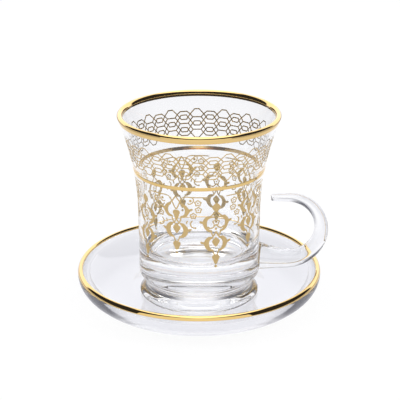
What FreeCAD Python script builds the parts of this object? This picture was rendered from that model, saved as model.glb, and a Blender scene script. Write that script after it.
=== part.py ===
import FreeCAD, Part
import math
import os

# Glass tea mug with an open hook handle, standing on its glass saucer.
# Millimetres, +Z up. The origin is the middle of the saucer's underside, and the handle points along +X.

# Saucer
saucer_radius = 56.3          # outside of the glass at the lip
saucer_height = 16.1          # underside to the top of the lip
saucer_foot_radius = 33.5     # flat underside and floor, where the curved wall starts
saucer_floor = 3.0            # thickness under the mug
saucer_wall = 2.3             # thickness at the lip

# Mug body, heights measured from the mug's own underside
mug_height = 86.5
rim_radius = 36.5             # outside of the glass at the lip
body_radius = 27.8            # straight lower wall
flare_start = 39.0            # where the straight wall starts to open towards the lip
wall = 2.2
solid_base = 20.5             # underside to the floor of the inside
inside_corner = 7.0           # rounding between the floor and the wall of the inside
shoulder_height = 9.7         # lower edge of the body, over the groove
shoulder_round = 1.8
waist_radius = 24.4           # bottom of the groove
waist_height = 6.4
foot_radius = 27.5
foot_edge = 1.1               # rounding at the foot's lower edge
mug_recess_radius = 20.0      # hollow in the underside of the mug
mug_recess_depth = 1.3

# Handle, a tapering glass rod drawn out of the body and bent back in a hook with a free tip
handle_height = 15.7          # centre line of the lower arm, above the mug's underside
handle_reach = 28.4           # body wall to the outermost point of the centre line
handle_loop = 15.1            # radius of the centre line's half turn
handle_tip_gap = 4.9          # free gap between the body and the tip
handle_root_flare = 14.0      # length over which the rod opens into the body
handle_root_rise = 2.5        # extra half height of the rod at the wall
handle_root_lift = 1.7        # how far the rod's middle climbs towards the wall
handle_root_spread = 1.4      # extra half width of the rod at the wall
handle_arm_half_height = 5.1
handle_arm_half_width = 4.3
handle_tip_half_height = 1.5
handle_tip_half_width = 2.3
handle_sink = 0.9             # how far the rod starts inside the body wall

# Gilding, thin rings of gold that follow the glass
gild = 0.12                   # thickness
lip_band = 3.1                # height of the mug's lip band on the outside
lip_band_inside = 0.9         # how far it comes down inside
middle_band_height = 60.9     # middle of the mug's second band, above the mug's underside
middle_band_width = 1.7
saucer_band = 1.5             # height of the saucer's lip band on the outside
saucer_band_inside = 0.6

# Worked out from the values above
mug_base = saucer_floor                       # the mug stands on the saucer's floor
mug_top = mug_base + mug_height
flare_z = mug_base + flare_start
flare_rise = mug_top - wall / 2 - flare_z
flare_angle = 2 * math.atan2(rim_radius - body_radius, flare_rise)
flare_radius = flare_rise / math.sin(flare_angle)      # middle of the wall
flare_centre = body_radius - wall / 2 + flare_radius   # the centre of the flare's arcs
saucer_lip_z = saucer_height - saucer_wall / 2


def point(r, z):
    """A point of a profile, in the XZ plane."""
    return FreeCAD.Vector(r, 0, z)


def line(a, b):
    return Part.LineSegment(a, b).toShape()


def arc(a, middle, b):
    return Part.Arc(a, middle, b).toShape()


def round_arc(centre_r, centre_z, radius, start, end):
    """An arc given by its centre and its two angles in degrees, from +R towards +Z."""
    at = [math.radians(start + (end - start) * k / 2) for k in range(3)]
    points = [point(centre_r + radius * math.cos(t), centre_z + radius * math.sin(t)) for t in at]
    return arc(*points)


def revolved(edges):
    """Turn a closed profile about Z into one solid."""
    face = Part.Face(Part.Wire(Part.__sortEdges__(edges)))
    turned = face.revolve(FreeCAD.Vector(0, 0, 0), FreeCAD.Vector(0, 0, 1), 360)
    solid = turned if turned.ShapeType == "Solid" else turned.Solids[0]
    if solid.Volume < 0:
        solid.reverse()
    return solid


def flare_point(offset, angle):
    """A point of the flared wall: offset from the middle of the wall, outwards, at an angle up the arc."""
    radius = flare_radius - offset
    return point(flare_centre - radius * math.cos(angle), flare_z + radius * math.sin(angle))


def flare_arc(offset, start, end):
    """A stretch of the flared wall between two angles up the arc."""
    return arc(*[flare_point(offset, start + (end - start) * k / 2) for k in range(3)])


def lip_arc(thickness):
    """The half round over the mug's lip, for a wall of this thickness about the same middle."""
    centre = flare_point(0, flare_angle)
    turn = math.degrees(flare_angle)
    return round_arc(centre.x, centre.z, thickness / 2, -turn, 180 - turn)


def recess(radius, depth, z):
    """The domed hollow in an underside, from the axis out to its edge."""
    dome = (radius ** 2 + depth ** 2) / (2 * depth)
    middle_z = z + depth - dome + math.sqrt(dome ** 2 - radius ** 2 / 4)
    return arc(point(0, z + depth), point(radius / 2, middle_z), point(radius, z))


def mug_body():
    shoulder = mug_base + shoulder_height
    round_top = shoulder + shoulder_round
    foot_top = mug_base + foot_edge
    floor = mug_base + solid_base
    inside = body_radius - wall
    corner = inside - inside_corner
    return revolved([
        recess(mug_recess_radius, mug_recess_depth, mug_base),
        line(point(mug_recess_radius, mug_base), point(foot_radius - foot_edge, mug_base)),
        round_arc(foot_radius - foot_edge, foot_top, foot_edge, -90, 0),
        arc(point(foot_radius, foot_top), point(waist_radius, mug_base + waist_height),
            point(body_radius - shoulder_round, shoulder)),
        round_arc(body_radius - shoulder_round, round_top, shoulder_round, -90, 0),
        line(point(body_radius, round_top), point(body_radius, flare_z)),
        flare_arc(wall / 2, 0, flare_angle),
        lip_arc(wall),
        flare_arc(-wall / 2, flare_angle, 0),
        line(point(inside, flare_z), point(inside, floor + inside_corner)),
        round_arc(corner, floor + inside_corner, inside_corner, 0, -90),
        line(point(corner, floor), point(0, floor)),
        line(point(0, floor), point(0, mug_base + mug_recess_depth)),
    ])


def handle_path():
    """Centre line of the rod: position, direction and distance from the wall, at even steps."""
    low_z = mug_base + handle_height
    turn_x = body_radius + handle_reach - handle_loop
    start_x = body_radius - handle_sink
    tip_x = body_radius + handle_tip_gap
    path = []
    for k in range(5):
        x = start_x + (turn_x - start_x) * k / 5
        path.append((point(x, low_z), point(1, 0), x - body_radius))
    lower = turn_x - body_radius
    for k in range(11):
        t = math.pi * (k / 10 - 0.5)
        where = point(turn_x + handle_loop * math.cos(t), low_z + handle_loop * (1 + math.sin(t)))
        path.append((where, point(-math.sin(t), math.cos(t)), lower + handle_loop * (t + math.pi / 2)))
    upper = lower + handle_loop * math.pi
    for k in range(1, 4):
        x = turn_x + (tip_x - turn_x) * k / 3
        path.append((point(x, low_z + 2 * handle_loop), point(-1, 0), upper + turn_x - x))
    return path


def handle_section(where, direction, along, length):
    """An oval across the rod, tapering from the arm to the tip and opening at the root."""
    share = along / length
    flare = max(0, 1 - along / handle_root_flare) ** 2
    middle = where + point(0, handle_root_lift * flare)
    half_height = handle_arm_half_height + (handle_tip_half_height - handle_arm_half_height) * share
    half_width = handle_arm_half_width + (handle_tip_half_width - handle_arm_half_width) * share
    half_height += handle_root_rise * flare
    half_width += handle_root_spread * flare
    up = point(-direction.z, direction.x)
    side = FreeCAD.Vector(0, 1, 0)
    points = []
    for k in range(12):
        t = math.radians(30 * k)
        points.append(middle + up * (half_height * math.cos(t)) + side * (half_width * math.sin(t)))
    oval = Part.BSplineCurve()
    oval.interpolate(Points=points, PeriodicFlag=True)
    return Part.Wire([oval.toShape()])


def handle():
    path = handle_path()
    length = path[-1][2]
    sections = [handle_section(*station, length) for station in path]
    return Part.makeLoft(sections, True, False)


def mug():
    return mug_body().fuse(handle()).removeSplitter()


def saucer_arc(floor_z, inset):
    """A side of the curved wall, a quarter ellipse from beside the lip down to a floor's height."""
    side = point(saucer_radius - inset, saucer_lip_z)
    ellipse = Part.Ellipse(side, point(saucer_foot_radius, floor_z), point(saucer_foot_radius, saucer_lip_z))
    return Part.ArcOfEllipse(ellipse, 0, math.pi / 2).toShape()


def saucer():
    lip_middle = saucer_radius - saucer_wall / 2
    return revolved([
        line(point(0, 0), point(saucer_foot_radius, 0)),
        saucer_arc(0, 0),
        round_arc(lip_middle, saucer_lip_z, saucer_wall / 2, 0, 180),
        saucer_arc(saucer_floor, saucer_wall),
        line(point(saucer_foot_radius, saucer_floor), point(0, saucer_floor)),
        line(point(0, saucer_floor), point(0, 0)),
    ])


def flare_angle_at(z):
    """How far up the flare's arc the outside of the wall reaches a height."""
    return math.asin((z - flare_z) / (flare_radius - wall / 2))


def lip_gilding():
    """Gold over the mug's lip, down the outside and a little way inside."""
    low = flare_angle_at(mug_top - lip_band)
    low_inside = flare_angle_at(mug_top - wall / 2 - lip_band_inside)
    outside = wall / 2 + gild
    return revolved([
        flare_arc(wall / 2, low, flare_angle),
        lip_arc(wall),
        flare_arc(-wall / 2, flare_angle, low_inside),
        line(flare_point(-wall / 2, low_inside), flare_point(-outside, low_inside)),
        flare_arc(-outside, low_inside, flare_angle),
        lip_arc(wall + 2 * gild),
        flare_arc(outside, flare_angle, low),
        line(flare_point(outside, low), flare_point(wall / 2, low)),
    ])


def middle_gilding():
    """The gold band round the mug's upper wall."""
    middle = mug_base + middle_band_height
    low = flare_angle_at(middle - middle_band_width / 2)
    high = flare_angle_at(middle + middle_band_width / 2)
    outside = wall / 2 + gild
    return revolved([
        flare_arc(wall / 2, low, high),
        line(flare_point(wall / 2, high), flare_point(outside, high)),
        flare_arc(outside, high, low),
        line(flare_point(outside, low), flare_point(wall / 2, low)),
    ])


def saucer_gilding():
    """Gold over the saucer's lip: a half round with straight skirts, the glass cut out of it."""
    lip_middle = saucer_radius - saucer_wall / 2
    half = saucer_wall / 2 + gild
    low = saucer_height - saucer_band
    low_inside = saucer_lip_z - saucer_band_inside
    outer = revolved([
        line(point(lip_middle, low), point(lip_middle + half, low)),
        line(point(lip_middle + half, low), point(lip_middle + half, saucer_lip_z)),
        round_arc(lip_middle, saucer_lip_z, half, 0, 90),
        line(point(lip_middle, saucer_lip_z + half), point(lip_middle, low)),
    ])
    inner = revolved([
        line(point(lip_middle, low_inside), point(lip_middle - half, low_inside)),
        line(point(lip_middle - half, low_inside), point(lip_middle - half, saucer_lip_z)),
        round_arc(lip_middle, saucer_lip_z, half, 180, 90),
        line(point(lip_middle, saucer_lip_z + half), point(lip_middle, low_inside)),
    ])
    return outer.fuse(inner).removeSplitter().cut(saucer())


def save(shape, name):
    solids = shape.Solids
    print(name, "solids", len(solids), "volume", round(shape.Volume, 1), "valid", shape.isValid())
    solids[0].exportStep("parts/" + name + ".step")


os.makedirs("parts", exist_ok=True)
save(mug(), "mug")
save(saucer(), "saucer")
save(lip_gilding(), "lip_gilding")
save(middle_gilding(), "middle_gilding")
save(saucer_gilding(), "saucer_gilding")
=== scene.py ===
import math

import bmesh
import bpy
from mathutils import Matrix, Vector


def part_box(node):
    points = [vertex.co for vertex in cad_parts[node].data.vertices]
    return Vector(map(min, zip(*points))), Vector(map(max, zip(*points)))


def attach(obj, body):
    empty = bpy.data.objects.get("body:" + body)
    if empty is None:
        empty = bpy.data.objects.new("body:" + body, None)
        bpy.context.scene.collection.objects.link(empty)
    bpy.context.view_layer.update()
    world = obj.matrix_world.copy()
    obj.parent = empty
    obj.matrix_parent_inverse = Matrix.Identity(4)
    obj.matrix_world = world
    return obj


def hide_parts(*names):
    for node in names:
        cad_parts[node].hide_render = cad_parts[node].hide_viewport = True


# Turkish tea glass with its saucer: clear glass, polished gold bands and a matte gold print.
# Sizes in the dictionaries are in millimetres unless a note says otherwise.

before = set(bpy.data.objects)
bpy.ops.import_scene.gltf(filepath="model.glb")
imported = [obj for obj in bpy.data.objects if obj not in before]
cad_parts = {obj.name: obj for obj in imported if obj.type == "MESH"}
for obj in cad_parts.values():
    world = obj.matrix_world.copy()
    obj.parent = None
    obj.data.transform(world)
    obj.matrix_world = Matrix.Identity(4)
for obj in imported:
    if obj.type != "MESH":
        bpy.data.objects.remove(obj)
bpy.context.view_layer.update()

mm = 0.001
mugLow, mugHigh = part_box("mug")
saucerLow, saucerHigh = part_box("saucer")


def asMm(value):
    return value / mm


def arcPoints(centre, radius, start, end, steps):
    # points on an arc, angles in degrees from outwards towards up
    points = []
    for k in range(steps + 1):
        turn = math.radians(start + (end - start) * k / steps)
        points.append((centre[0] + radius[0] * math.cos(turn), centre[1] + radius[1] * math.sin(turn)))
    return points


def arcThrough(a, b, c, steps):
    # points on the circle through three points, from a to c
    ax, ay = a[0] - c[0], a[1] - c[1]
    bx, by = b[0] - c[0], b[1] - c[1]
    cross = 2 * (ax * by - ay * bx)
    aa, bb = ax * ax + ay * ay, bx * bx + by * by
    centre = (c[0] + (by * aa - ay * bb) / cross, c[1] + (ax * bb - bx * aa) / cross)
    radius = math.dist(centre, a)
    start = math.atan2(a[1] - centre[1], a[0] - centre[0])
    turn = math.atan2(c[1] - centre[1], c[0] - centre[0]) - start
    middle = math.atan2(b[1] - centre[1], b[0] - centre[0]) - start
    turn = turn % (2 * math.pi)
    if middle % (2 * math.pi) > turn:
        turn -= 2 * math.pi
    points = []
    for k in range(steps + 1):
        angle = start + turn * k / steps
        points.append((centre[0] + radius * math.cos(angle), centre[1] + radius * math.sin(angle)))
    return points


def linePoints(a, b, steps):
    return [(a[0] + (b[0] - a[0]) * k / steps, a[1] + (b[1] - a[1]) * k / steps) for k in range(steps + 1)]


def joinedOutline(*stretches):
    # one outline from stretches that share their end points
    outline = []
    for stretch in stretches:
        for point in stretch:
            if not outline or math.dist(outline[-1], point) > 1e-4:
                outline.append(point)
    return outline


mugGlass = {
    "segments": 256,
    "bodyRadius": 27.8,
    "wall": 2.2,
    "flareStart": 39.0,      # above the mug's underside
    "solidBase": 20.5,
    "insideCorner": 7.0,
    "shoulderHeight": 9.7,
    "shoulderRound": 1.8,
    "waistRadius": 24.4,
    "waistHeight": 6.4,
    "footRadius": 27.5,
    "footEdge": 1.1,
    "recessRadius": 20.0,
    "recessDepth": 1.3,
    "standOff": 0.04,        # hair of air between the mug and the saucer
    "roundRows": 40,         # steps along each long round stretch
}

mugBase = asMm(mugLow.z)
mugTop = asMm(mugHigh.z)
rimRadius = asMm(mugHigh.y)
flareZ = mugBase + mugGlass["flareStart"]
flareRise = mugTop - mugGlass["wall"] / 2 - flareZ
flareTurn = 2 * math.atan2(rimRadius - mugGlass["bodyRadius"], flareRise)
flareRadius = flareRise / math.sin(flareTurn)
flareCentre = mugGlass["bodyRadius"] - mugGlass["wall"] / 2 + flareRadius


def flarePoints(offset, start, end, steps):
    # the opening wall, offset outwards from the middle of the glass
    radius = flareRadius - offset
    points = []
    for k in range(steps + 1):
        turn = start + (end - start) * k / steps
        points.append((flareCentre - radius * math.cos(turn), flareZ + radius * math.sin(turn)))
    return points


def outsideRadius(z):
    # radius of the mug's outside at a height
    if z <= flareZ:
        return mugGlass["bodyRadius"]
    radius = flareRadius - mugGlass["wall"] / 2
    turn = math.asin(min(1, (z - flareZ) / radius))
    return flareCentre - radius * math.cos(turn)


def mugOutline():
    m = mugGlass
    base = mugBase + m["standOff"]
    footTop = base + m["footEdge"]
    shoulder = mugBase + m["shoulderHeight"]
    roundTop = shoulder + m["shoulderRound"]
    floor = mugBase + m["solidBase"]
    inside = m["bodyRadius"] - m["wall"]
    corner = inside - m["insideCorner"]
    halfWall = m["wall"] / 2
    dome = (m["recessRadius"] ** 2 + m["recessDepth"] ** 2) / (2 * m["recessDepth"])
    domeTurn = math.degrees(math.asin(m["recessRadius"] / dome))
    domeCentre = (0, base + m["recessDepth"] - dome)
    lipCentre = flarePoints(0, flareTurn, flareTurn, 1)[0]
    lipTurn = math.degrees(flareTurn)
    return joinedOutline(
        arcPoints(domeCentre, (dome, dome), 90, 90 - domeTurn, 8),
        linePoints((m["recessRadius"], base), (m["footRadius"] - m["footEdge"], base), 3),
        arcPoints((m["footRadius"] - m["footEdge"], footTop), (m["footEdge"],) * 2, -90, 0, 8),
        arcThrough((m["footRadius"], footTop), (m["waistRadius"], mugBase + m["waistHeight"]),
                   (m["bodyRadius"] - m["shoulderRound"], shoulder), 24),
        arcPoints((m["bodyRadius"] - m["shoulderRound"], roundTop), (m["shoulderRound"],) * 2, -90, 0, 8),
        linePoints((m["bodyRadius"], roundTop), (m["bodyRadius"], roundTop + handle["holeHeight"]),
                   handle["holeRows"]),
        linePoints((m["bodyRadius"], roundTop + handle["holeHeight"]), (m["bodyRadius"], flareZ), 4),
        flarePoints(halfWall, 0, flareTurn, m["roundRows"]),
        arcPoints(lipCentre, (halfWall, halfWall), -lipTurn, 180 - lipTurn, 12),
        flarePoints(-halfWall, flareTurn, 0, m["roundRows"]),
        linePoints((inside, flareZ), (inside, floor + m["insideCorner"]), 5),
        arcPoints((corner, floor + m["insideCorner"]), (m["insideCorner"],) * 2, 0, -90, 14),
        linePoints((corner, floor), (0, floor), 8),
    )


def ringVerts(bm, radius, z, segments):
    # azimuth 0 is the front, towards -Y, and grows towards +X
    if radius < 1e-6:
        return [bm.verts.new((0, 0, z * mm))]
    ring = []
    for k in range(segments):
        turn = 2 * math.pi * k / segments
        ring.append(bm.verts.new((radius * mm * math.sin(turn), -radius * mm * math.cos(turn), z * mm)))
    return ring


def joinRings(bm, lower, upper, skip=None):
    count = max(len(lower), len(upper))
    for k in range(count):
        if skip and skip(k):
            continue
        after = (k + 1) % count
        if len(lower) == 1:
            bm.faces.new((lower[0], upper[after], upper[k]))
        elif len(upper) == 1:
            bm.faces.new((lower[k], lower[after], upper[0]))
        else:
            bm.faces.new((lower[k], lower[after], upper[after], upper[k]))


def finishPiece(bm, name, materials, smooth=True):
    bmesh.ops.recalc_face_normals(bm, faces=bm.faces[:])
    mesh = bpy.data.meshes.new(name)
    bm.to_mesh(mesh)
    bm.free()
    for polygon in mesh.polygons:
        polygon.use_smooth = smooth
    piece = bpy.data.objects.new(name, mesh)
    bpy.context.scene.collection.objects.link(piece)
    for material in materials:
        mesh.materials.append(material)
    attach(piece, "root")
    return piece


handle = {
    "height": 15.7,          # middle of the lower arm, above the mug's underside
    "reach": 28.4,
    "loop": 15.1,
    "tipGap": 4.9,
    "armHalf": (4.3, 5.1),   # half width, half height where the taper starts
    "tipHalf": (2.3, 1.5),
    "tipRound": 1.0,
    "flareLength": 14.0,
    "flareHalf": (1.2, 1.6),
    "flareLift": 1.6,
    "fillet": 0.3,
    "footprint": 0.8,        # share of the fillet by which the root is wider on the wall
    "rootReach": 6.0,        # over this length the rings follow the round wall
    "rows": 64,
    "endRows": 6,            # rings in the fillet, and again in the rounded tip
    "holeHeight": 15.0,      # patch of the wall that the root grows from
    "holeRows": 15,
    "holeColumns": 22,
}


def handleSection(along):
    # middle, travel direction and half sizes of the rod at a distance from the wall
    h = handle
    lowZ = mugBase + h["height"]
    turnX = mugGlass["bodyRadius"] + h["reach"] - h["loop"]
    lower = turnX - mugGlass["bodyRadius"]
    half = math.pi * h["loop"]
    upper = turnX - mugGlass["bodyRadius"] - h["tipGap"]
    share = along / (lower + half + upper)
    if along < lower:
        middle, turn = (mugGlass["bodyRadius"] + along, lowZ), 0
    elif along < lower + half:
        turn = (along - lower) / h["loop"]
        middle = (turnX + h["loop"] * math.sin(turn), lowZ + h["loop"] * (1 - math.cos(turn)))
    else:
        middle, turn = (turnX - (along - lower - half), lowZ + 2 * h["loop"]), math.pi
    flare = max(0, 1 - along / h["flareLength"]) ** 2
    halfWidth = h["armHalf"][0] + (h["tipHalf"][0] - h["armHalf"][0]) * share + h["flareHalf"][0] * flare
    halfHeight = h["armHalf"][1] + (h["tipHalf"][1] - h["armHalf"][1]) * share + h["flareHalf"][1] * flare
    return (middle[0], middle[1] + h["flareLift"] * flare), turn, halfWidth, halfHeight


def handleLength():
    straight = 2 * (handle["reach"] - handle["loop"]) - handle["tipGap"]
    return straight + math.pi * handle["loop"]


def handlePoint(along, angle, shrink=0.0):
    middle, turn, halfWidth, halfHeight = handleSection(along)
    side = (halfWidth - shrink) * math.cos(angle)
    up = (halfHeight - shrink) * math.sin(angle)
    x = middle[0] - math.sin(turn) * up
    z = middle[1] + math.cos(turn) * up
    rootPull = max(0, 1 - along / handle["rootReach"]) ** 2
    x -= (mugGlass["bodyRadius"] - math.sqrt(mugGlass["bodyRadius"] ** 2 - side ** 2)) * rootPull
    return Vector((x, side, z))


def wallPoint(side, z):
    return Vector((math.sqrt(mugGlass["bodyRadius"] ** 2 - side ** 2), side, z))


def growHandle(bm, border):
    # border: vertices round the hole in the wall. The rod grows out of it ring by ring.
    h = handle
    middle, travel, halfWidth, halfHeight = handleSection(0)
    sides = [v.co.y / mm for v in border]
    heights = [v.co.z / mm for v in border]
    holeMiddle = (min(heights) + max(heights)) / 2
    holeHalf = (max(heights) - min(heights)) / 2
    angles = []
    for side, height in zip(sides, heights):
        angles.append(math.atan2((height - holeMiddle) / holeHalf, side / max(sides)))
    rings = [list(border)]

    def addRing(points):
        rings.append([bm.verts.new(p * mm) for p in points])

    wider = h["fillet"] * h["footprint"]
    footprint = []
    for angle in angles:
        side = (halfWidth + wider) * math.cos(angle)
        height = middle[1] + (halfHeight + wider) * math.sin(angle)
        footprint.append((side, height))
    for step in (0.5, 1.0):
        points = []
        for k, (side, height) in enumerate(footprint):
            across = sides[k] + (side - sides[k]) * step
            upward = heights[k] + (height - heights[k]) * step
            points.append(wallPoint(across, upward))
        addRing(points)
    for k in range(1, h["endRows"] + 1):
        t = k / h["endRows"]
        points = []
        for angle, (side, height) in zip(angles, footprint):
            start = wallPoint(side, height)
            corner = wallPoint(halfWidth * math.cos(angle), middle[1] + halfHeight * math.sin(angle))
            end = handlePoint(h["fillet"], angle)
            points.append(start * (1 - t) ** 2 + corner * 2 * t * (1 - t) + end * t ** 2)
        addRing(points)
    length = handleLength()
    for k in range(1, h["rows"] + 1):
        along = h["fillet"] + (length - h["tipRound"] - h["fillet"]) * k / h["rows"]
        addRing([handlePoint(along, angle) for angle in angles])
    for k in range(1, h["endRows"] + 1):
        turn = math.pi / 2 * k / h["endRows"]
        along = length - h["tipRound"] * (1 - math.sin(turn))
        addRing([handlePoint(along, angle, h["tipRound"] * (1 - math.cos(turn))) for angle in angles])
    tipMiddle = sum((v.co for v in rings[-1]), Vector()) / len(rings[-1])
    rings.append([bm.verts.new((v.co + tipMiddle) / 2) for v in rings[-1]])
    rings.append([bm.verts.new(tipMiddle)])
    for lower, upper in zip(rings, rings[1:]):
        joinRings(bm, lower, upper)


def buildMug(material):
    segments = mugGlass["segments"]
    outline = mugOutline()
    bm = bmesh.new()
    rings = [ringVerts(bm, radius, z, segments) for radius, z in outline]
    roundTop = mugBase + mugGlass["shoulderHeight"] + mugGlass["shoulderRound"]
    firstRow = next(k for k, point in enumerate(outline)
                    if abs(point[1] - roundTop) < 1e-3 and abs(point[0] - mugGlass["bodyRadius"]) < 1e-3)
    rows = range(firstRow, firstRow + handle["holeRows"])
    quarter = segments // 4
    left = quarter - handle["holeColumns"] // 2
    right = quarter + handle["holeColumns"] // 2
    for k in range(len(rings) - 1):
        inHole = (lambda column: left <= column < right) if k in rows else None
        joinRings(bm, rings[k], rings[k + 1], inHole)
    for k in rows[1:]:
        bmesh.ops.delete(bm, geom=rings[k][left + 1:right], context="VERTS")
    border = [rings[rows[0]][c] for c in range(left, right)]
    border += [rings[r][right] for r in rows]
    border += [rings[rows[-1] + 1][c] for c in range(right, left, -1)]
    border += [rings[r][left] for r in range(rows[-1] + 1, rows[0], -1)]
    growHandle(bm, border)
    piece = finishPiece(bm, "mugGlass", [material])
    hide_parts("mug")


saucerGlass = {
    "segments": 288,
    "footRadius": 33.5,
    "floor": 3.0,
    "wall": 2.3,
    "lipOut": (1.5, 2.6),    # width and height of the lip's outer half
    "roundRows": 40,
}


def saucerLip(startTurn=0):
    # over the lip, from the outermost point or further up to the inner wall
    s = saucerGlass
    rim = asMm(saucerHigh.x)
    top = asMm(saucerHigh.z)
    across, tall = s["lipOut"]
    inner = s["wall"] - across
    return joinedOutline(
        arcPoints((rim - across, top - tall), (across, tall), startTurn, 90, 14),
        arcPoints((rim - across, top - s["wall"] / 2), (inner, s["wall"] / 2), 90, 180, 6),
    )


def saucerOutline():
    s = saucerGlass
    rim = asMm(saucerHigh.x)
    top = asMm(saucerHigh.z)
    base = asMm(saucerLow.z)
    lipZ = top - s["wall"] / 2
    outZ = top - s["lipOut"][1]
    wide = rim - s["footRadius"]
    return joinedOutline(
        linePoints((0, base), (s["footRadius"], base), 8),
        arcPoints((s["footRadius"], outZ), (wide, outZ - base), -90, 0, s["roundRows"]),
        saucerLip(),
        arcPoints((s["footRadius"], lipZ), (wide - s["wall"], lipZ - s["floor"]), 0, -90, s["roundRows"]),
        linePoints((s["footRadius"], s["floor"]), (0, s["floor"]), 10),
    )


def buildSaucer(material):
    bm = bmesh.new()
    rings = [ringVerts(bm, radius, z, saucerGlass["segments"]) for radius, z in saucerOutline()]
    for lower, upper in zip(rings, rings[1:]):
        joinRings(bm, lower, upper)
    piece = finishPiece(bm, "saucerGlass", [material])
    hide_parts("saucer")


goldBands = {
    "proud": 0.07,           # gold over the glass
    "sunk": 0.04,            # gold under the surface, so that it shows from inside
    "segments": 256,
    "lipInside": 0.9,        # how far the lip's gold comes down inside
    "saucerInside": 0.15,
    "edgeRow": 0.03,         # a row this close to each end keeps the edge crisp
    "edgeShare": 0.45,       # share of the coat's height that is left at the ends
}


def skinOutline(path, proud, sunk):
    # closed outline of a thin coat that follows a path, with soft edges
    outer, inner = [], []
    path = list(path)
    for place, end, beside in ((1, path[0], path[1]), (len(path), path[-1], path[-2])):
        close = goldBands["edgeRow"] / math.dist(end, beside)
        path.insert(place, (end[0] + (beside[0] - end[0]) * close, end[1] + (beside[1] - end[1]) * close))
    for k, point in enumerate(path):
        before = path[max(k - 1, 0)]
        after = path[min(k + 1, len(path) - 1)]
        length = math.dist(before, after)
        normal = ((after[1] - before[1]) / length, -(after[0] - before[0]) / length)
        edge = goldBands["edgeShare"] if k in (0, len(path) - 1) else 1.0
        outer.append((point[0] + normal[0] * proud * edge, point[1] + normal[1] * proud * edge))
        inner.append((point[0] - normal[0] * sunk, point[1] - normal[1] * sunk))
    return outer + inner[::-1]


def buildBand(name, path, node, materials):
    bm = bmesh.new()
    outline = skinOutline(path, goldBands["proud"], goldBands["sunk"])
    rings = [ringVerts(bm, radius, z, goldBands["segments"]) for radius, z in outline]
    for k in range(len(rings)):
        joinRings(bm, rings[k], rings[(k + 1) % len(rings)])
    piece = finishPiece(bm, name, materials)
    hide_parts(node)


def lipPath():
    halfWall = mugGlass["wall"] / 2
    lipCentre = flarePoints(0, flareTurn, flareTurn, 1)[0]
    lipTurn = math.degrees(flareTurn)
    lowest = asMm(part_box("lip_gilding")[0].z) - flareZ
    outsideStart = math.asin(lowest / (flareRadius - halfWall))
    insideEnd = flareTurn - goldBands["lipInside"] / flareRadius
    return joinedOutline(
        flarePoints(halfWall, outsideStart, flareTurn, 6),
        arcPoints(lipCentre, (halfWall, halfWall), -lipTurn, 180 - lipTurn, 12),
        flarePoints(-halfWall, flareTurn, insideEnd, 3),
    )


def middlePath():
    low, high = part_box("middle_gilding")
    heights = [asMm(low.z) + (asMm(high.z) - asMm(low.z)) * k / 4 for k in range(5)]
    return [(outsideRadius(z), z) for z in heights]


def saucerLipPath():
    s = saucerGlass
    rim = asMm(saucerHigh.x)
    lipZ = asMm(saucerHigh.z) - s["wall"] / 2
    tall = s["lipOut"][1]
    lowest = asMm(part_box("saucer_gilding")[0].z) - (asMm(saucerHigh.z) - tall)
    outsideTurn = math.degrees(math.asin(lowest / tall))
    insideTurn = -math.degrees(math.asin(goldBands["saucerInside"] / (lipZ - s["floor"])))
    wide = rim - s["footRadius"]
    return joinedOutline(
        saucerLip(outsideTurn),
        arcPoints((s["footRadius"], lipZ), (wide - s["wall"], lipZ - s["floor"]), 0, insideTurn, 2),
    )


printInk = {
    "mapRadius": 28.0,       # distances round the mug are measured at this radius
    "proud": 0.035,
    "sunk": 0.03,
    "layerStep": 0.003,      # each stroke lies a little higher than the one before
    "layers": 5,
    "step": 0.55,            # longest stretch of a curved stroke
    "straightStep": 1.6,
    "mitre": 0.35,           # straight runs overlap at a corner by this share of their width
    "leafStep": 0.15,
    "blobStep": 0.4,
    "point": 0.04,           # half width that is left at a sharp end
    "cell": 0.8,             # widest strip across a leaf
    "drift": 1.2,            # how far the wrapped print has crept round at the back
}


def printPoint(along, z, height):
    # along: distance round the mug from the front
    turn = along / printInk["mapRadius"]
    turn += printInk["drift"] * (1 - math.cos(turn)) / 2 / printInk["mapRadius"]
    radius = (outsideRadius(z) + height) * mm
    return (radius * math.sin(turn), -radius * math.cos(turn), z * mm)


def smoothLine(points, step, closed=False):
    # an even curve through the points
    count = len(points)
    size = len(points[0])
    last = count if closed else count - 1
    out = []
    for k in range(last):
        p = []
        for offset in (-1, 0, 1, 2):
            at = k + offset
            p.append(points[at % count] if closed else points[min(max(at, 0), count - 1)])
        pieces = max(1, math.ceil(math.dist(p[1][:2], p[2][:2]) / step))
        for j in range(pieces):
            t = j / pieces
            row = []
            for c in range(size):
                a, b, e, f = p[0][c], p[1][c], p[2][c], p[3][c]
                row.append(0.5 * (2 * b + (e - a) * t + (2 * a - 5 * b + 4 * e - f) * t * t
                                  + (3 * b - a - 3 * e + f) * t ** 3))
            out.append(tuple(row))
    if not closed:
        out.append(tuple(points[-1]))
    return out


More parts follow.
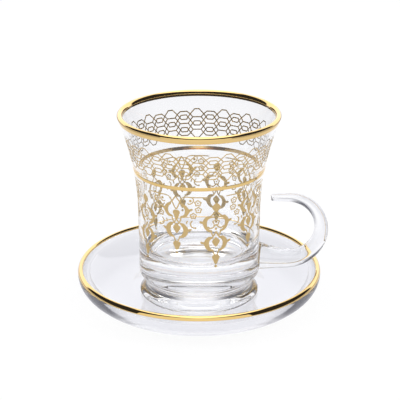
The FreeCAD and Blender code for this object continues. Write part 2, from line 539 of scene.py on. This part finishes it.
class WallPrint:
    # gathers the strokes of one print as thin closed patches on the wall

    def __init__(self):
        self.bm = bmesh.new()
        self.layer = 0

    def patch(self, edgeA, edgeB, closed=False):
        # fill between two edges of (along, height) points, subdivided across
        self.layer = (self.layer + 1) % printInk["layers"]
        top = printInk["proud"] + printInk["layerStep"] * self.layer
        under = -printInk["sunk"] - printInk["layerStep"] * self.layer
        widest = max(math.dist(a, b) for a, b in zip(edgeA, edgeB))
        across = max(1, math.ceil(widest / printInk["cell"]))
        outer, inner = [], []
        for a, b in zip(edgeA, edgeB):
            outerRow, innerRow = [], []
            for j in range(across + 1):
                share = j / across
                at = (a[0] + (b[0] - a[0]) * share, a[1] + (b[1] - a[1]) * share)
                outerRow.append(self.bm.verts.new(printPoint(at[0], at[1], top)))
                innerRow.append(self.bm.verts.new(printPoint(at[0], at[1], under)))
            outer.append(outerRow)
            inner.append(innerRow)
        rows = len(outer)
        last = rows if closed else rows - 1
        for k in range(last):
            after = (k + 1) % rows
            for j in range(across):
                self.bm.faces.new((outer[k][j], outer[k][j + 1], outer[after][j + 1], outer[after][j]))
                corners = (inner[k][j], inner[after][j], inner[after][j + 1], inner[k][j + 1])
                back = self.bm.faces.new(corners)
                back.material_index = 1
            self.bm.faces.new((outer[k][0], outer[after][0], inner[after][0], inner[k][0]))
            self.bm.faces.new((outer[k][-1], inner[k][-1], inner[after][-1], outer[after][-1]))
        if not closed:
            for j in range(across):
                self.bm.faces.new((outer[0][j], inner[0][j], inner[0][j + 1], outer[0][j + 1]))
                self.bm.faces.new((outer[-1][j], outer[-1][j + 1], inner[-1][j + 1], inner[-1][j]))

    def stroke(self, line, closed=False):
        # a line of (along, height, width) points
        edgeA, edgeB = [], []
        count = len(line)
        for k, (x, z, width) in enumerate(line):
            before = line[(k - 1) % count] if closed or k > 0 else line[0]
            after = line[(k + 1) % count] if closed or k < count - 1 else line[-1]
            dx, dz = after[0] - before[0], after[1] - before[1]
            length = math.hypot(dx, dz) or 1
            grow = outsideRadius(z) / printInk["mapRadius"]
            nx, nz = -dz / length / grow, dx / length
            edgeA.append((x + nx * width / 2, z + nz * width / 2))
            edgeB.append((x - nx * width / 2, z - nz * width / 2))
        self.patch(edgeA, edgeB, closed)

    def curve(self, points, width, taper=(1.0, 1.0), closed=False):
        # a smooth stroke whose ends thin to the taper's share of its width
        line = smoothLine(points, printInk["step"], closed)
        count = max(1, len(line) - 1)
        out = []
        for k, point in enumerate(line):
            share = k / count
            ends = taper[0] + (1 - taper[0]) * min(1, share * 4)
            ends *= taper[1] + (1 - taper[1]) * min(1, (1 - share) * 4)
            out.append((point[0], point[1], width * (1 if closed else ends)))
        self.stroke(out, closed)

    def straight(self, points, width):
        # straight runs that overlap a little at the corners
        for a, b in zip(points, points[1:]):
            over = printInk["mitre"] * width / math.dist(a, b)
            dx, dz = (b[0] - a[0]) * over, (b[1] - a[1]) * over
            start, end = (a[0] - dx, a[1] - dz), (b[0] + dx, b[1] + dz)
            steps = max(1, math.ceil(math.dist(start, end) / printInk["straightStep"]))
            self.stroke([(x, z, width) for x, z in linePoints(start, end, steps)])

    def dot(self, x, z, radius, steps=8):
        edgeA, edgeB = [], []
        cut = 0.04                   # the dot's two ends are cut off flat
        for k in range(steps + 1):
            turn = math.pi * (cut + (1 - 2 * cut) * k / steps)
            edgeA.append((x + radius * math.sin(turn), z + radius * math.cos(turn)))
            edgeB.append((x - radius * math.sin(turn), z + radius * math.cos(turn)))
        self.patch(edgeA, edgeB)

    def blob(self, x, halfWidths):
        # a shape that is the same on both sides of an upright line, from (height, half width) points
        rows = smoothLine(halfWidths, printInk["blobStep"])
        edgeA = [(x + max(printInk["point"], width), z) for z, width in rows]
        edgeB = [(x - max(printInk["point"], width), z) for z, width in rows]
        self.patch(edgeA, edgeB)

    def leaf(self, x, side, outerEdge, innerEdge, rows=26):
        # a crescent between two edges, each a smooth line sampled evenly
        edges = []
        for edge in (outerEdge, innerEdge):
            line = smoothLine(edge, printInk["leafStep"])
            reach = [0]
            for a, b in zip(line, line[1:]):
                reach.append(reach[-1] + math.dist(a, b))
            samples = []
            at = 0
            for k in range(rows + 1):
                goal = reach[-1] * k / rows
                while at < len(line) - 2 and reach[at + 1] < goal:
                    at += 1
                share = (goal - reach[at]) / max(1e-9, reach[at + 1] - reach[at])
                share = min(1, max(0, share))
                samples.append((x + side * (line[at][0] + (line[at + 1][0] - line[at][0]) * share),
                                line[at][1] + (line[at + 1][1] - line[at][1]) * share))
            edges.append(samples)
        self.patch(edges[0], edges[1])

    def finish(self, name, materials):
        finishPiece(self.bm, name, materials, smooth=False)


# The net over the middle band: upright rows of long links, with small six-sided cells between them.
netPrint = {
    "repeats": 16,
    "start": -0.3,           # round the mug from the front to a high peak
    "line": 0.46,
    "knots": (78.5, 75.7, 72.9, 70.0),
    "knotSide": 2.75,        # a row of links stands this far each side of a peak
    "linkHalf": 1.0,
    "peak": (2.2, 0.9),      # rise and half of the flat top of a high peak
    "lowPeak": (1.2, 1.4),
    "cellHalf": (1.75, 1.15, 0.95),      # half width, half of the flat top, half height
    "knotDot": 0.3,
}


def drawNet():
    n = netPrint
    net = WallPrint()
    period = 2 * math.pi * printInk["mapRadius"] / n["repeats"]
    knots = n["knots"]
    line = n["line"]
    for k in range(2 * n["repeats"]):
        x = n["start"] + period * k / 2
        high = k % 2 == 0
        rise, flat = n["peak"] if high else n["lowPeak"]
        side = n["knotSide"] if high else period / 2 - n["knotSide"]
        for edge, way in ((knots[0], 1), (knots[-1], -1)):
            net.straight([(x - side, edge), (x - flat, edge + rise * way),
                          (x + flat, edge + rise * way), (x + side, edge)], line)
        for row in range(3):
            top, bottom = knots[row], knots[row + 1]
            middle = (top + bottom) / 2
            a, b, c = n["cellHalf"]
            if (row == 1) == high:
                net.straight([(x - a, middle), (x - b, middle + c), (x + b, middle + c), (x + a, middle),
                              (x + b, middle - c), (x - b, middle - c), (x - a, middle)], line)
            else:
                net.straight([(x - a, middle), (x + a, middle)], line)
            if high:
                for knotX in (x - side, x + side):
                    for way in (-1, 1):
                        bulge = knotX + way * n["linkHalf"]
                        net.straight([(knotX, top), (bulge, middle), (knotX, bottom)], line)
        if high:
            for knotX in (x - side, x + side):
                for z in knots:
                    net.dot(knotX, z, n["knotDot"], 4)
    return net


# The garland under the middle band: long and short pendants in turn, joined by vines with flowers.
shortPendant = {
    "curves": [              # points (across, height) to the right of the middle, and a width
        ([(0, 60.1), (0.7, 59.0), (1.75, 57.6), (2.5, 56.9)], 0.58),
        ([(2.4, 58.8), (1.8, 57.5), (1.0, 55.5), (0.1, 53.7)], 0.58),
        ([(2.1, 50.3), (1.9, 48.8), (1.2, 47.3), (0.5, 46.7)], 0.58),
        ([(0.2, 48.7), (1.0, 47.5), (1.8, 47.0)], 0.58),
        ([(1.3, 40.2), (0.9, 39.2), (0.3, 38.2)], 0.62),
    ],
    "buds": [(2.5, 58.9, 0.45)],         # across, height and radius, as for dots and flowers
    "leaves": [              # outer edge, then inner edge
        ([(2.2, 57.1), (3.9, 56.3), (5.0, 55.2), (5.9, 53.9), (6.1, 53.0), (5.4, 51.7), (4.4, 50.3),
          (3.2, 49.8), (1.7, 50.1)],
         [(2.2, 56.6), (2.6, 55.6), (3.4, 54.9), (3.9, 53.4), (3.7, 51.9), (3.1, 51.1), (2.5, 50.8),
          (2.0, 50.7), (1.8, 50.5)]),
        ([(1.6, 47.2), (3.0, 47.2), (4.5, 46.0), (5.3, 44.6), (5.3, 43.3), (5.0, 42.2), (4.3, 41.2),
          (3.0, 40.3), (1.2, 40.2)],
         [(1.7, 46.7), (2.1, 46.0), (2.7, 45.2), (3.0, 43.8), (2.8, 42.6), (2.3, 41.6), (1.8, 41.1),
          (1.4, 41.0), (1.1, 40.9)]),
    ],
    "barbs": [
        ([(5.3, 53.4), (6.2, 53.7), (7.4, 54.3)], 1.1),
        ([(4.6, 44.0), (5.7, 44.0), (6.8, 44.7)], 1.1),
    ],
    "blobs": [               # height and half width, down the middle
        [(53.4, 0.9), (52.8, 1.5), (52.0, 1.6), (51.2, 1.3), (50.2, 1.0), (49.3, 0.6), (48.3, 0.15)],
        [(47.0, 0.2), (46.2, 0.9), (45.4, 1.6), (44.6, 1.75), (43.8, 1.3), (43.0, 0.8), (42.2, 0.15)],
        [(38.5, 0.7), (38.0, 1.5), (37.3, 1.8), (36.4, 1.55), (35.6, 1.1), (35.0, 0.9), (34.1, 0.3)],
    ],
    "dots": [(0, 32.9, 0.6)],
    "flowers": [],
}

longPendant = {
    "curves": [
        ([(0.5, 52.6), (1.1, 52.0), (1.8, 51.3), (2.6, 50.6)], 0.62),
        ([(0.2, 46.4), (1.0, 45.6), (2.0, 45.0), (3.2, 45.2)], 0.58),
        ([(2.2, 43.5), (1.7, 42.0), (1.3, 41.2)], 0.58),
        ([(0.1, 43.4), (0.7, 42.0), (1.3, 41.0), (2.5, 40.3)], 0.62),
        ([(1.3, 34.0), (0.9, 33.0), (0.3, 32.0)], 0.62),
    ],
    "buds": [(3.4, 45.4, 0.5)],
    "leaves": [
        ([(0.3, 50.6), (2.0, 50.7), (3.8, 50.9), (5.0, 50.0), (5.9, 48.6), (6.1, 47.5), (5.7, 46.4),
          (5.2, 45.2), (4.2, 43.9), (2.9, 43.2), (1.7, 43.3)],
         [(0.3, 50.1), (1.6, 50.0), (3.0, 49.6), (3.8, 48.8), (4.1, 47.6), (4.0, 46.4), (3.7, 45.4),
          (3.2, 44.7), (2.6, 44.3), (2.1, 44.1), (1.7, 43.9)]),
        ([(1.2, 40.9), (3.2, 41.0), (4.5, 40.0), (5.3, 38.6), (5.4, 37.4), (5.0, 36.4), (4.2, 35.1),
          (2.8, 34.1), (1.1, 34.1)],
         [(1.2, 40.4), (2.0, 39.9), (2.8, 39.2), (3.1, 37.9), (3.0, 36.8), (2.6, 35.8), (2.1, 35.1),
          (1.5, 34.9), (1.0, 34.8)]),
    ],
    "barbs": [
        ([(5.3, 47.9), (6.3, 47.9), (7.4, 48.4)], 1.1),
        ([(4.8, 38.0), (5.9, 38.1), (7.0, 38.7)], 1.1),
    ],
    "blobs": [
        [(56.9, 0.4), (56.2, 1.2), (55.3, 1.75), (54.4, 1.75), (53.6, 1.2), (52.8, 0.4)],
        [(40.6, 0.2), (39.9, 0.9), (39.1, 1.6), (38.4, 1.75), (37.6, 1.3), (36.8, 0.8), (36.0, 0.15)],
        [(32.3, 0.7), (31.8, 1.5), (31.1, 1.75), (30.1, 1.45), (29.2, 1.0), (28.6, 0.9), (27.7, 0.3)],
    ],
    "dots": [(0, 44.6, 0.6), (0, 26.7, 0.65)],
    "flowers": [(0, 47.7, 1.3)],
}

vine = {                     # measured from a short pendant towards the long one beside it
    "curves": [
        ([(2.4, 59.0), (3.4, 59.8), (5.0, 60.1), (7.0, 60.0), (9.0, 60.0), (11.5, 60.0), (13.5, 59.9)], 0.52),
        ([(6.9, 60.0), (7.7, 59.2), (7.6, 57.9), (6.6, 56.9), (5.6, 56.7), (5.2, 57.2)], 0.52),
        ([(5.1, 48.6), (4.7, 48.0), (4.6, 47.2)], 0.6),
        ([(7.3, 48.7), (6.5, 47.9), (6.3, 46.9), (6.9, 45.7), (8.3, 45.2)], 0.58),
    ],
    "buds": [(6.4, 58.3, 0.6), (8.5, 45.3, 0.45)],
    "flowers": [(9.6, 57.2, 1.2), (9.8, 53.9, 1.2), (7.6, 51.0, 1.15)],
}

garland = {
    "pairs": 5,
    "shortStart": -10.1,     # round the mug from the front to a short pendant
    "petal": 0.2,            # how far the petals stand out, as a share of the flower's radius
    "petalLine": 0.5,
    "eye": 0.3,              # the dot in a flower, as a share of its radius
    "flowerSteps": 30,
    "barbTaper": (1.0, 0.15),
    "vineTaper": (0.6, 0.8),
    "handleAt": 90.0,        # degrees from the front
    "handleSpread": 12.0,
    "handleClear": 33.0,     # nothing is printed under this height beside the handle
}


def drawFlower(target, x, z, radius):
    # five open petals round a dot
    target.dot(x, z, radius * garland["eye"], 6)
    rim = []
    for k in range(garland["flowerSteps"]):
        turn = 2 * math.pi * k / garland["flowerSteps"]
        reach = radius * (1 + garland["petal"] * math.cos(5 * turn))
        rim.append((x + reach * math.sin(turn), z + reach * math.cos(turn), garland["petalLine"]))
    target.stroke(rim, closed=True)


def drawPendant(target, shape, x, lowest):
    for side in (-1, 1):
        for points, width in shape["curves"]:
            if min(p[1] for p in points) > lowest:
                target.curve([(x + side * p[0], p[1]) for p in points], width)
        for px, pz, radius in shape["buds"]:
            target.dot(x + side * px, pz, radius, 6)
        for outer, inner in shape["leaves"]:
            if min(p[1] for p in outer) > lowest:
                target.leaf(x, side, outer, inner)
        for points, width in shape["barbs"]:
            target.curve([(x + side * p[0], p[1]) for p in points], width, garland["barbTaper"])
    for rows in shape["blobs"]:
        if rows[-1][0] > lowest:
            target.blob(x, rows)
    for px, pz, radius in shape["dots"]:
        if pz > lowest:
            target.dot(x + px, pz, radius)
    for px, pz, radius in shape["flowers"]:
        drawFlower(target, x + px, pz, radius)


def drawGarland():
    target = WallPrint()
    half = math.pi * printInk["mapRadius"] / garland["pairs"]
    for k in range(2 * garland["pairs"]):
        x = garland["shortStart"] + half * k
        shape = longPendant if k % 2 else shortPendant
        azimuth = math.degrees(x / printInk["mapRadius"])
        beside = abs((azimuth - garland["handleAt"] + 180) % 360 - 180) < garland["handleSpread"]
        drawPendant(target, shape, x, garland["handleClear"] if beside else 0)
        way = -1 if k % 2 else 1
        start = x if way == 1 else x + half
        for points, width in vine["curves"]:
            target.curve([(start + way * p[0], p[1]) for p in points], width, garland["vineTaper"])
        for px, pz, radius in vine["buds"]:
            target.dot(start + way * px, pz, radius, 6)
        for px, pz, radius in vine["flowers"]:
            drawFlower(target, start + way * px, pz, radius)
    return target


finishes = {
    "glassTint": (0.985, 0.992, 0.995),
    "glassIor": 1.51,
    "glassWave": (0.01, 0.0002),     # strength and metres, slow unevenness of pressed glass
    "bandLight": (0.88, 0.64, 0.28),
    "bandDeep": (0.82, 0.57, 0.23),
    "bandRough": (0.02, 0.04),
    "bandGrain": (0.03, 0.0001),
    "inkLight": (0.58, 0.42, 0.19),
    "inkDeep": (0.49, 0.345, 0.148),
    "inkRough": (0.42, 0.58),
    "inkGrain": (0.25, 0.00008),
    # the far side of the print, seen from inside through the glass: the net's far side is darker than its
    # front, and the garland's far side carries painted light, brightened above the ink's own colour because
    # little light reaches it through the glass
    "netBackLight": (0.38, 0.235, 0.035),
    "netBackDeep": (0.28, 0.165, 0.022),
    "paintedLitGarlandBackLight": (0.95, 0.69, 0.27),
    "paintedLitGarlandBackDeep": (0.86, 0.60, 0.21),
}


def bareMaterial(name):
    material = bpy.data.materials.new(name)
    material.use_nodes = True
    nodes, links = material.node_tree.nodes, material.node_tree.links
    nodes.clear()
    return material, nodes, links, nodes.new("ShaderNodeOutputMaterial")


def newMaterial(name):
    material, nodes, links, output = bareMaterial(name)
    shader = nodes.new("ShaderNodeBsdfPrincipled")
    links.new(shader.outputs["BSDF"], output.inputs["Surface"])
    return material, nodes, links, shader


def feed(links, socket, value):
    # a socket takes a plain value, a colour or another node's output
    if isinstance(value, bpy.types.NodeSocket):
        links.new(value, socket)
    elif isinstance(value, (tuple, list)):
        socket.default_value = (*value, 1)
    else:
        socket.default_value = value


def noiseAt(nodes, links, scale, detail=3.0):
    coordinates = nodes.new("ShaderNodeTexCoord")
    noise = nodes.new("ShaderNodeTexNoise")
    noise.inputs["Scale"].default_value = scale
    noise.inputs["Detail"].default_value = detail
    links.new(coordinates.outputs["Object"], noise.inputs["Vector"])
    return noise.outputs["Fac"]


def mixedColour(nodes, links, factor, low, high):
    mix = nodes.new("ShaderNodeMix")
    mix.data_type = "RGBA"
    colours = [socket for socket in mix.inputs if socket.type == "RGBA"]
    links.new(factor, mix.inputs[0])
    feed(links, colours[0], low)
    feed(links, colours[1], high)
    return next(socket for socket in mix.outputs if socket.type == "RGBA")


def worked(nodes, links, operation, *values):
    # one Math node on plain values and sockets
    node = nodes.new("ShaderNodeMath")
    node.operation = operation
    for socket, value in zip(node.inputs, values):
        feed(links, socket, value)
    return node.outputs[0]


def maskStep(nodes, links, value, start, end):
    # 0 at the start, 1 at the end, smooth between
    step = nodes.new("ShaderNodeMapRange")
    step.interpolation_type = "SMOOTHSTEP"
    links.new(value, step.inputs["Value"])
    step.inputs["From Min"].default_value = start
    step.inputs["From Max"].default_value = end
    return step.outputs["Result"]


def spread(nodes, links, factor, low, high):
    scale = nodes.new("ShaderNodeMapRange")
    links.new(factor, scale.inputs["Value"])
    scale.inputs["From Min"].default_value = 0.3
    scale.inputs["From Max"].default_value = 0.7
    scale.inputs["To Min"].default_value = low
    scale.inputs["To Max"].default_value = high
    return scale.outputs["Result"]


def addBump(nodes, links, shader, height, strength, distance):
    bump = nodes.new("ShaderNodeBump")
    bump.inputs["Strength"].default_value = strength
    bump.inputs["Distance"].default_value = distance
    links.new(height, bump.inputs["Height"])
    links.new(bump.outputs["Normal"], shader.inputs["Normal"])


def clearGlass():
    material, nodes, links, shader = newMaterial("clearGlass")
    shader.inputs["Transmission Weight"].default_value = 1
    shader.inputs["IOR"].default_value = finishes["glassIor"]
    shader.inputs["Roughness"].default_value = 0.0
    tone = noiseAt(nodes, links, 14)
    links.new(mixedColour(nodes, links, tone, finishes["glassTint"], (1, 1, 1)), shader.inputs["Base Color"])
    addBump(nodes, links, shader, noiseAt(nodes, links, 45, 1.0), *finishes["glassWave"])
    return material


def polishedGold():
    material, nodes, links, shader = newMaterial("polishedGold")
    shader.inputs["Metallic"].default_value = 1
    tone = noiseAt(nodes, links, 60)
    colour = mixedColour(nodes, links, tone, finishes["bandDeep"], finishes["bandLight"])
    links.new(colour, shader.inputs["Base Color"])
    wear = spread(nodes, links, noiseAt(nodes, links, 350), *finishes["bandRough"])
    links.new(wear, shader.inputs["Roughness"])
    addBump(nodes, links, shader, noiseAt(nodes, links, 900), *finishes["bandGrain"])
    return material


def matteInk(name, deep, light, metallic):
    material, nodes, links, shader = newMaterial(name)
    shader.inputs["Metallic"].default_value = metallic
    tone = noiseAt(nodes, links, 700)
    links.new(mixedColour(nodes, links, tone, deep, light), shader.inputs["Base Color"])
    links.new(spread(nodes, links, tone, *finishes["inkRough"]), shader.inputs["Roughness"])
    addBump(nodes, links, shader, noiseAt(nodes, links, 2500), *finishes["inkGrain"])
    return material


studio = {
    "floorRadius": 4.0,      # metres
    "floorRings": 24,
    "floorSides": 96,
    "floorDrop": 0.0002,
    "floorColour": (0.93, 0.93, 0.94),
    "floorGlow": 0.92,       # plain white share of the floor, seen directly and in gold and glass
    "poolPlace": (0, 0.12),  # the pool of light on the floor lies behind the object
    "poolShape": (1.0, 0.45),
    "poolEdge": (0.22, 0.08),            # it grows between these distances
    "poolInside": (1.0, 1.0, 1.02),
    # painted shadow on the floor under the saucer, seen in gold and through the glass
    "paintedShadowUnder": (0.84, 0.84, 0.89),     # near the saucer
    "paintedShadowEdge": (0.14, 0.055),
    # painted shade on the floor outside the pool of light
    "poolOutside": (0.48, 0.48, 0.52),
    "plainLight": (0.95, 0.95, 0.97),    # what matte surfaces receive
    "skyColour": (1.45, 1.45, 1.5),      # what gold and glass reflect
    "skyThrough": (0.92, 0.92, 0.96),    # what is seen through the glass
    "sideThrough": (0.13, 0.13, 0.15),   # with grey walls at both sides
    "sideEdge": (0.10, 0.36),
    "darkLevel": (0.03, 0.03, 0.04),     # the dark wall in front, as a reflection
    "darkThrough": (0.05, 0.05, 0.06),   # and through the glass
    "darkBack": (0.56, 0.48),    # it ends here towards the back, as a direction's Y
    "darkTop": (0.74, 0.67),     # and here upwards, as a direction's Z
    "darkRise": 0.40,            # its top edge climbs towards the sides
    "cardTop": 0.21,             # a pale card stands in front of the wall, up to this Z
    "cardSides": (0.50, 0.22),   # and ends sideways between these X
    "cardEdge": (-0.01, 0.04),
    "brightTop": (0.72, 0.90),   # the light overhead grows between these heights
    "brightLevel": (1.9, 1.9, 1.9),
    "lamps": [               # place, aim, size and watts
        ((-0.75, -0.55, 0.95), (0, 0, 0.04), (0.60, 0.45), 4.0),
        ((0.80, -0.45, 0.85), (0, 0, 0.04), (0.50, 0.40), 4.0),
        ((0.0, 0.25, 1.15), (0, 0, 0.04), (0.80, 0.60), 1.5),
    ],
}


def whiteRays(nodes, links):
    # 1 for rays from the camera, off gold and through glass, and 0 for the light on matte surfaces
    path = nodes.new("ShaderNodeLightPath")
    seen = worked(nodes, links, "MAXIMUM", path.outputs["Is Camera Ray"], path.outputs["Is Glossy Ray"])
    seen = worked(nodes, links, "MAXIMUM", seen, path.outputs["Is Transmission Ray"])
    fresh = worked(nodes, links, "LESS_THAN", path.outputs["Diffuse Depth"], 0.5)
    return worked(nodes, links, "MULTIPLY", seen, fresh), path


def distanceFrom(nodes, links, place, shape):
    # distance on the floor from a place, with the two directions stretched
    coordinates = nodes.new("ShaderNodeTexCoord")
    mapping = nodes.new("ShaderNodeMapping")
    mapping.inputs["Location"].default_value = (-place[0] * shape[0], -place[1] * shape[1], 0)
    mapping.inputs["Scale"].default_value = (*shape, 1)
    links.new(coordinates.outputs["Object"], mapping.inputs["Vector"])
    length = nodes.new("ShaderNodeVectorMath")
    length.operation = "LENGTH"
    links.new(mapping.outputs["Vector"], length.inputs[0])
    return length.outputs["Value"]


def floorPaper():
    s = studio
    material, nodes, links, output = bareMaterial("floorPaper")
    paper = nodes.new("ShaderNodeBsdfDiffuse")
    colour = s["floorColour"]
    faint = [c * 0.99 for c in colour]
    links.new(mixedColour(nodes, links, noiseAt(nodes, links, 4), faint, colour), paper.inputs["Color"])
    white, path = whiteRays(nodes, links)
    # the floor's glow in gold and glass is painted light: a painted pool of light, painted shade outside it
    # and a painted shadow under the saucer
    reach = distanceFrom(nodes, links, s["poolPlace"], s["poolShape"])
    pool = maskStep(nodes, links, reach, *s["poolEdge"])
    # a painted shadow darkens the floor's glow near and under the saucer
    near = distanceFrom(nodes, links, (0, 0), (1, 1))
    under = maskStep(nodes, links, near, *s["paintedShadowEdge"])
    inside = mixedColour(nodes, links, under, s["poolInside"], s["paintedShadowUnder"])
    seen = mixedColour(nodes, links, pool, s["poolOutside"], inside)
    glow = nodes.new("ShaderNodeEmission")
    shown = mixedColour(nodes, links, path.outputs["Is Camera Ray"], seen, (1, 1, 1))
    links.new(shown, glow.inputs["Color"])
    mix = nodes.new("ShaderNodeMixShader")
    links.new(worked(nodes, links, "MULTIPLY", white, s["floorGlow"]), mix.inputs[0])
    links.new(paper.outputs[0], mix.inputs[1])
    links.new(glow.outputs[0], mix.inputs[2])
    links.new(mix.outputs[0], output.inputs["Surface"])
    return material


def buildFloor():
    # a round sheet whose rings lie closer under the object
    bm = bmesh.new()
    previous = [bm.verts.new((0, 0, 0))]
    for k in range(1, studio["floorRings"] + 1):
        radius = studio["floorRadius"] * (k / studio["floorRings"]) ** 2
        ring = ringVerts(bm, asMm(radius), 0, studio["floorSides"])
        joinRings(bm, previous, ring)
        previous = ring
    mesh = bpy.data.meshes.new("floor")
    bm.normal_update()
    bm.to_mesh(mesh)
    bm.free()
    floor = bpy.data.objects.new("floor", mesh)
    bpy.context.scene.collection.objects.link(floor)
    floor.location.z = -studio["floorDrop"]
    mesh.materials.append(floorPaper())


def buildSky():
    # white all round, with a dark wall low on the front side that gives gold and glass their dark edges
    s = studio
    world = bpy.data.worlds.new("studioSky")
    bpy.context.scene.world = world
    world.use_nodes = True
    nodes, links = world.node_tree.nodes, world.node_tree.links
    nodes.clear()
    coordinates = nodes.new("ShaderNodeTexCoord")
    axes = nodes.new("ShaderNodeSeparateXYZ")
    links.new(coordinates.outputs["Generated"], axes.inputs[0])
    sideways = worked(nodes, links, "ABSOLUTE", axes.outputs["X"])
    back, up = axes.outputs["Y"], axes.outputs["Z"]
    front = maskStep(nodes, links, back, *s["darkBack"])
    edge = worked(nodes, links, "MULTIPLY_ADD", sideways, -s["darkRise"], up)
    low = maskStep(nodes, links, edge, *s["darkTop"])
    card = maskStep(nodes, links, sideways, *s["cardSides"])
    above = worked(nodes, links, "MULTIPLY_ADD", card, -s["cardTop"], up)
    overCard = maskStep(nodes, links, above, *s["cardEdge"])
    dark = worked(nodes, links, "MULTIPLY", worked(nodes, links, "MULTIPLY", front, low), overCard)
    white, path = whiteRays(nodes, links)
    glassRay = path.outputs["Is Transmission Ray"]
    aside = maskStep(nodes, links, sideways, *s["sideEdge"])
    through = mixedColour(nodes, links, aside, s["skyThrough"], s["sideThrough"])
    around = mixedColour(nodes, links, glassRay, s["skyColour"], through)
    high = maskStep(nodes, links, up, *s["brightTop"])
    upper = mixedColour(nodes, links, high, around, s["brightLevel"])
    wall = mixedColour(nodes, links, glassRay, s["darkLevel"], s["darkThrough"])
    room = mixedColour(nodes, links, dark, upper, wall)
    lit = mixedColour(nodes, links, white, s["plainLight"], room)
    plain = mixedColour(nodes, links, path.outputs["Is Camera Ray"], lit, (1, 1, 1))
    background = nodes.new("ShaderNodeBackground")
    output = nodes.new("ShaderNodeOutputWorld")
    links.new(plain, background.inputs["Color"])
    links.new(background.outputs[0], output.inputs["Surface"])


frontCard = {                # metres
    "y": -0.16,
    "left": -0.19,
    "right": 0.14,
    "tall": 0.12,
    "colour": (1.0, 1.0, 0.98),
}


def buildCard():
    # a small white card that stands on the floor in front of the saucer and shows only as a reflection
    c = frontCard
    corners = [(c["left"], c["y"], 0), (c["right"], c["y"], 0), (c["right"], c["y"], c["tall"]),
               (c["left"], c["y"], c["tall"])]
    mesh = bpy.data.meshes.new("frontCard")
    mesh.from_pydata(corners, [], [(0, 1, 2, 3)])
    card = bpy.data.objects.new("frontCard", mesh)
    bpy.context.scene.collection.objects.link(card)
    card.visible_camera = False
    card.visible_diffuse = False
    card.visible_shadow = False
    card.visible_transmission = False
    material, nodes, links, output = bareMaterial("cardPaper")
    glow = nodes.new("ShaderNodeEmission")
    faint = [v * 0.97 for v in c["colour"]]
    links.new(mixedColour(nodes, links, noiseAt(nodes, links, 20), faint, c["colour"]), glow.inputs["Color"])
    links.new(glow.outputs[0], output.inputs["Surface"])
    mesh.materials.append(material)


def buildLamps():
    for k, (place, aim, size, watts) in enumerate(studio["lamps"]):
        lamp = bpy.data.lights.new(f"softbox{k + 1}", "AREA")
        lamp.shape = "RECTANGLE"
        lamp.size, lamp.size_y = size
        lamp.energy = watts
        holder = bpy.data.objects.new(f"softbox{k + 1}", lamp)
        holder.location = place
        holder.rotation_euler = (Vector(aim) - Vector(place)).to_track_quat("-Z", "Y").to_euler()
        holder.visible_camera = False
        holder.visible_glossy = False
        bpy.context.scene.collection.objects.link(holder)


lightBounces = 44            # light passes many walls of glass here

shot = {
    "place": (0.0004, -0.5188, 0.2504),
    "aim": (0.0004, 0, 0.0476),
    "lens": 109.8,
}


def buildCamera():
    camera = bpy.data.cameras.new("camera")
    camera.lens = shot["lens"]
    camera.sensor_width = 36
    camera.clip_start = 0.01
    holder = bpy.data.objects.new("camera", camera)
    holder.location = shot["place"]
    holder.rotation_euler = (Vector(shot["aim"]) - Vector(shot["place"])).to_track_quat("-Z", "Y").to_euler()
    bpy.context.scene.collection.objects.link(holder)
    bpy.context.scene.camera = holder


buildCamera()
glass = clearGlass()
gold = polishedGold()
ink = matteInk("goldInk", finishes["inkDeep"], finishes["inkLight"], 0.35)
netBack = matteInk("netInkBack", finishes["netBackDeep"], finishes["netBackLight"], 0.2)
# the garland's far side is painted light: its ink is brightened to make up for the light that the glass holds
# back
paintedLitGarlandBack = matteInk("garlandInkBackPaintedLit", finishes["paintedLitGarlandBackDeep"], finishes["paintedLitGarlandBackLight"], 0.0)
print("materials ready")

buildMug(glass)
buildSaucer(glass)
print("glass ready")

buildBand("lipGold", lipPath(), "lip_gilding", [gold])
buildBand("middleGold", middlePath(), "middle_gilding", [gold])
buildBand("saucerGold", saucerLipPath(), "saucer_gilding", [gold])
print("gold bands ready")

drawNet().finish("netPrint", [ink, netBack])
drawGarland().finish("garlandPrint", [ink, paintedLitGarlandBack])
print("print ready")

buildFloor()
buildSky()
buildCard()
buildLamps()
scene = bpy.context.scene
scene.view_settings.view_transform = "Standard"
scene.cycles.max_bounces = lightBounces
scene.cycles.transmission_bounces = lightBounces
scene.cycles.glossy_bounces = lightBounces
print("studio ready")
